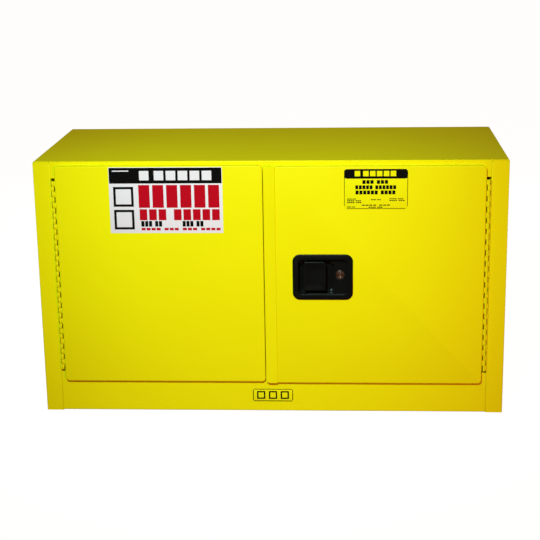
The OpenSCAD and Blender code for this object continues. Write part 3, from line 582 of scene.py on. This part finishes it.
cut(cup, pocket("pocket_wall", shelf_y + 0.0005, floor_y + wall, wall), "UNION")
mouth = block("mouth", (cup_mid.x - cup_w / 2 + wall, shelf_y - 0.002, cup_mid.z - cup_h / 2 + wall),
              (cup_mid.x + cup_w / 2 - wall, shelf_y, cup_mid.z + cup_h / 2 - wall))
round_corners(mouth, tray_r - wall)
flare(mouth, bezel_y, 0.0014)
cut(cup, mouth)
hollow = pocket("hollow", shelf_y + 0.002, floor_y, 0)
flare(hollow, shelf_y, 0.0009, 3)
cut(cup, hollow)
paddle_low, paddle_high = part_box("paddle")
pin_low, pin_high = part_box("paddle_pin")
pin_x, pin_y = (pin_low.x + pin_high.x) / 2, (pin_low.y + pin_high.y) / 2
arm_z = cup_mid.z + 0.0145
cut(cup, block("arm_slot", (pin_x - 0.004, floor_y - 0.001, arm_z - 0.007),
               (pin_x + 0.024, floor_y + 0.005, arm_z + 0.007)))
lock_low, lock_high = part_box("lock_body")
lock_x, lock_z = (lock_low.x + lock_high.x) / 2, (lock_low.z + lock_high.z) / 2
cut(cup, cylinder("lock_hole", lock_x, lock_z, 0.0094, shelf_y - 0.001, shelf_y + 0.01))
for x, z in ((0.072, 0.366), (0.142, 0.366), (0.142, 0.3), (0.088, 0.299)):
    cut(cup, cylinder("screw_hole", x, z, 0.00205, floor_y - 0.001, floor_y + 0.005, 24))
cut(cup, cylinder("pin_hole", pin_x, 0, pin_bore_r, cup_mid.z - pin_reach, cup_mid.z + pin_reach, 32,
                  along="Z", y=pin_y))
finish_piece(cup, black_coat, "right_door", "handle_black", "handle_cup", smooth=40)

plate_back = paddle_low.y + 0.0035
paddle = block("handle_paddle", paddle_low, (paddle_high.x, plate_back, paddle_high.z))
round_corners(paddle, 0.008, lambda a: a.x > pin_x + 0.01 and a.z > cup_mid.z, 8)
round_corners(paddle, 0.0039, lambda a: a.z < cup_mid.z or a.x < pin_x, 5)
round_front(paddle, paddle_low.y, 0.0011, 4)
edit(paddle, "FACE", lambda centre, normal: near(centre.y, paddle_low.y))
middle_x, middle_z = (paddle_low.x + paddle_high.x) / 2, (paddle_low.z + paddle_high.z) / 2
for shrink, sink in ((0.93, 0), (0.9, 0.0003), (0.88, 0.0005), (0.84, 0.0004), (0.75, 0.0002)):
    bpy.ops.mesh.extrude_region_move(TRANSFORM_OT_translate={"value": (0, sink, 0)})
    bpy.ops.transform.resize(value=(shrink, 1, shrink), center_override=(middle_x, 0, middle_z))
close_edit()
barrel = cylinder("barrel", pin_x, 0, 0.0039, paddle_low.z + 0.0004, paddle_high.z - 0.0004, 40,
                  along="Z", y=pin_y)
turned_edge = block("turned_edge", (paddle_high.x - 0.008, plate_back - overlap, middle_z - 0.03),
                    (paddle_high.x - 0.005, pin_y + 0.004, middle_z + 0.03))
arm = block("arm", (pin_x - 0.0025, pin_y, arm_z - 0.005),
            (pin_x + 0.0025, paddle_high.y, arm_z + 0.005))
for extra in (barrel, turned_edge, arm):
    cut(paddle, extra, "UNION")
cut(paddle, cylinder("pin_bore", pin_x, 0, pin_bore_r, cup_mid.z - pin_reach, cup_mid.z + pin_reach,
                     32, along="Z", y=pin_y))
finish_piece(paddle, black_coat, "paddle", "handle_black", "paddle", smooth=40)
dress(["paddle_pin"], black_coat, 0.0002, 2)
dress(["latch_plate", "cam_pivot"], plain_steel, 0.0002, 2)

# --- Lock -----------------------------------------------------------------------------------
# A chromed cylinder in the cup's shelf, with a rolled collar and a turning plug with a keyway.

def chrome_finish():
    chrome = Finish("lock_chrome", Metallic=1.0)
    haze = chrome.noise(260, 2)
    return chrome.show(chrome.blend_colours(haze, (0.55, 0.54, 0.58), (0.68, 0.67, 0.71)),
                       0.06 + haze * 0.06, haze, 0.02, 0.0001)


chrome = chrome_finish()
collar = cylinder("lock_collar", lock_x, lock_z, 0.0106, lock_low.y, shelf_y - 0.00005)
round_front(collar, lock_low.y, 0.0012, 5)
cut(collar, cylinder("barrel_housing", lock_x, lock_z, 0.0093, shelf_y - 0.001, lock_high.y), "UNION")
cut(collar, cylinder("bore", lock_x, lock_z, 0.00656, lock_low.y - 0.001, lock_high.y + 0.001))
cut(collar, cylinder("bore_edge", lock_x, lock_z, 0.0063, lock_low.y - 0.0002, lock_low.y + 0.0011,
                     lean=0.0013))
finish_piece(collar, chrome, "right_door", "lock_chrome", "lock_body")

plug_low, plug_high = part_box("lock_plug")
plug = cylinder("lock_barrel", lock_x, lock_z, 0.0065, plug_low.y, plug_high.y - 0.004)
round_front(plug, plug_low.y, 0.0006, 3)
edit(plug, "FACE", lambda centre, normal: near(centre.y, plug_low.y))
bpy.ops.mesh.inset(thickness=0.0012)
bpy.ops.mesh.inset(thickness=0.0014)
bpy.ops.transform.translate(value=(0, 0.0007, 0))
close_edit()
cut(plug, cylinder("tail", lock_x, lock_z, 0.003, plug_high.y - 0.005, plug_high.y, 32), "UNION")
cut(plug, block("keyway", (lock_x - 0.0009, plug_low.y - 0.003, lock_z - 0.004),
                (lock_x + 0.0009, plug_low.y + 0.0155, lock_z + 0.004)))
finish_piece(plug, chrome, "lock", "lock_chrome", "lock_plug")
dress(["lock_nut", "lock_tongue"], plain_steel, 0.0003, 2)

# --- Latch ----------------------------------------------------------------------------------
# Zinc-plated pressings and drawn rods behind the cup. The open-coil springs push the rods out.

def zinc_finish(name, spangle_scale, gloss):
    zinc = Finish(name, Metallic=1.0)
    spangle = zinc.node("TexVoronoi", {"feature": "F1"}, {"Vector": zinc.place, "Scale": spangle_scale}, 1)
    tone = zinc.node("SeparateColor", {}, {0: spangle})
    streak = zinc.noise(35, 4, 0.6)
    mixed = (tone * 0.55 + streak * 0.45).clamp()
    return zinc.show(zinc.blend_colours(mixed, (0.40, 0.42, 0.44), (0.66, 0.68, 0.69)),
                     gloss + tone * 0.14 + streak * 0.1, streak, 0.05, 0.0002)


plated = zinc_finish("plated_zinc", 500, 0.24)
dress(["latch_cam", "latch_plate_screws", "strike_screws"], plated, 0.0002, 2)
dress(["latch_bolt", "bolt_guide", "top_rod", "top_bullet", "bottom_rod", "bottom_bullet", "top_rod_guide",
       "bottom_rod_guide", "top_strike_plate", "bottom_strike_plate"], plain_steel, 0.0002, 2)


def coil_spring(name, moving_body, turns=7, wire=0.0007):
    """A round wire swept along a helix, left in the frame; it is attached to neither the door nor the rod.
    """
    low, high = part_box(name)
    middle = (low + high) / 2
    radius = (high.x - low.x) / 2 - wire
    bpy.ops.object.select_all(action="DESELECT")
    bpy.ops.mesh.primitive_circle_add(vertices=10, radius=wire, rotation=(math.pi / 2, 0, 0),
                                      location=(middle.x + radius, middle.y, low.z + wire))
    piece = bpy.context.object
    piece.name = piece.data.name = name + "_wire"
    bpy.ops.object.transform_apply(location=True, rotation=True, scale=True)
    piece.data.transform(Matrix.Translation((-middle.x, -middle.y, 0)))
    apply_modifier(piece, "SCREW", axis="Z", angle=turns * math.tau, steps=24 * turns,
                   render_steps=24 * turns, screw_offset=high.z - low.z - 2 * wire)
    piece.data.transform(Matrix.Translation((middle.x, middle.y, 0)))
    edit(piece, "EDGE", lambda a, b: False)
    bpy.ops.mesh.select_non_manifold()
    bpy.ops.mesh.fill_holes(sides=0)
    bpy.ops.mesh.select_all(action="SELECT")
    bpy.ops.mesh.normals_make_consistent(inside=False)
    close_edit()
    piece.data.materials.append(plain_steel)
    bpy.ops.object.shade_smooth_by_angle(angle=math.radians(50))
    ends = [(middle.x, middle.y, low.z), (middle.x, middle.y, high.z)]
    if moving_body == "bottom_rod":
        ends.reverse()
    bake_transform(piece)
    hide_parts(name)


for name, rod in (("top_spring", "top_rod"), ("bottom_spring", "bottom_rod")):
    coil_spring(name, rod)

# --- Shelf ----------------------------------------------------------------------------------
# Galvanised sheet with a spangle, folded down on all sides, on four hooked hangers.

galvanised = zinc_finish("galvanised", 95, 0.30)
dress(["shelf", "shelf_hangers"], galvanised, 0.0004, 2)

# --- Vents and earthing ---------------------------------------------------------------------
# Steel collars through both walls with painted plugs, a perforated arrester behind each, and a
# zinc-plated stud with its nut.

dress(["left_vent_collar", "right_vent_collar", "left_vent_plug", "right_vent_plug"],
      outside_paint, 0.0006, 3)
dress(["left_flame_arrester", "right_flame_arrester"], plain_steel, 0)
dress(["ground_stud", "ground_nut"], plated, 0.0004, 2)
